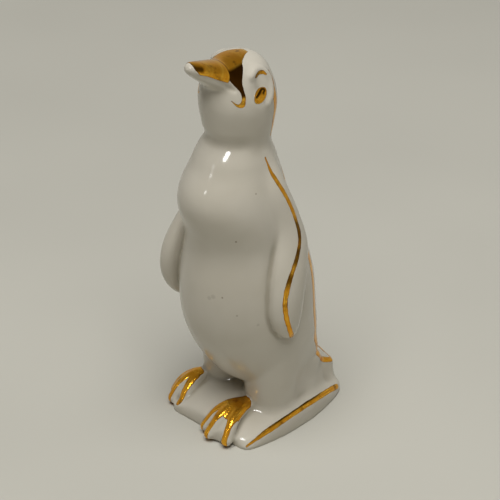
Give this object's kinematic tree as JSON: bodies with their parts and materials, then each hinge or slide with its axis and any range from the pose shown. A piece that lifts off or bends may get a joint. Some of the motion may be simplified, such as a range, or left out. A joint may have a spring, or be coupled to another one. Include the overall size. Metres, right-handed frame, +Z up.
{
  "type": "penguin figurine",
  "caption": "White glazed porcelain penguin standing on a low crowned plinth, with gold lustre on beak, face, eyes, wing edges, tail, toes and plinth edge; a shelf ornament.",
  "frame": {"origin": "middle of the flat underside of the plinth, on the surface the figure stands on", "axes": "+Z up, -Y the way the penguin faces, +X its left side"},
  "size_m": [0.0376, 0.0445, 0.1016],
  "materials": {
    "porcelain": "clear gloss glaze",
    "gold": "burnished gold lustre, brushed on by hand"
  },
  "bodies": {
    "root": {"plinth": "porcelain", "torso_shell": "porcelain", "head_shell": "porcelain", "beak": "porcelain", "left_wing": "porcelain", "right_wing": "porcelain", "left_leg": "porcelain", "right_leg": "porcelain", "left_foot": "porcelain", "right_foot": "porcelain", "tail": "porcelain", "beak_gilding": "gold", "face_gilding": "gold", "left_eye": "gold", "right_eye": "gold", "left_brow": "gold", "right_brow": "gold", "left_head_stripe": "gold", "right_head_stripe": "gold", "left_coat_line": "gold", "right_coat_line": "gold", "left_wing_line": "gold", "right_wing_line": "gold", "tail_gilding": "gold", "left_foot_gilding": "gold", "right_foot_gilding": "gold", "left_plinth_line": "gold", "right_plinth_line": "gold"}
  },
  "joints": []
}
